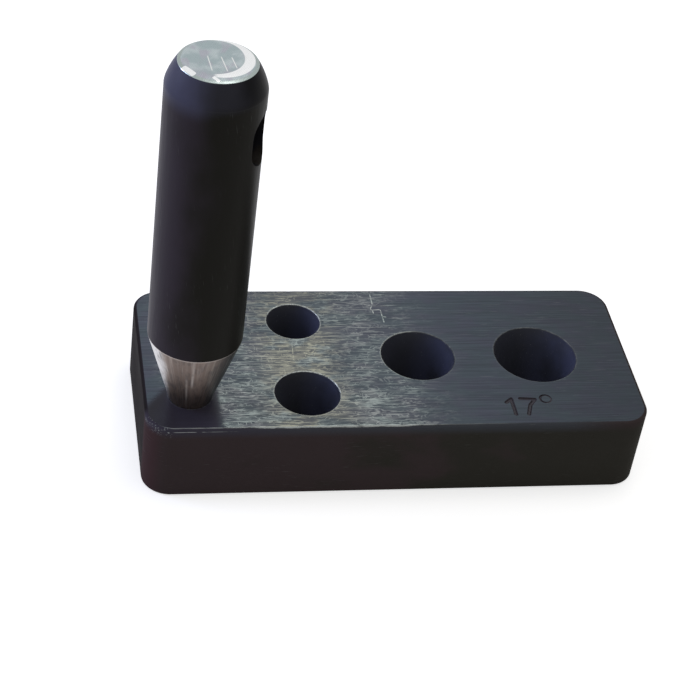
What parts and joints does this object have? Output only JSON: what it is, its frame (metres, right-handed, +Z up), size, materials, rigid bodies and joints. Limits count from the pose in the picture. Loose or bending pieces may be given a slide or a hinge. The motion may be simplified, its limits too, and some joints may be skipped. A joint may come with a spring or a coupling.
{
  "type": "collet block",
  "caption": "Blackened steel block with graded tapered holes for shaping metal settings, and the matching tapered hand punch that stands in it.",
  "frame": {"origin": "middle of the block's underside, which is the bottom centre of the whole part", "axes": "+X along the block towards its widest hole, +Y across the block away from the side that the punch stands on, +Z up along the punch"},
  "size_m": [0.1, 0.0426, 0.0921],
  "materials": {
    "blackened_steel": "blackened tool steel, worn to grey scratches on top and along the front edge",
    "turned_steel": "turned steel, blackened on the shank and bright on the cone and the strike face"
  },
  "bodies": {
    "block": {"block": "blackened_steel"},
    "punch": {"punch": "turned_steel"}
  },
  "joints": [
    {"name": "punch_lift", "type": "slide", "parent": "block", "child": "punch", "axis": [0, 0, 1], "range_m": [0, 0.02]}
  ]
}
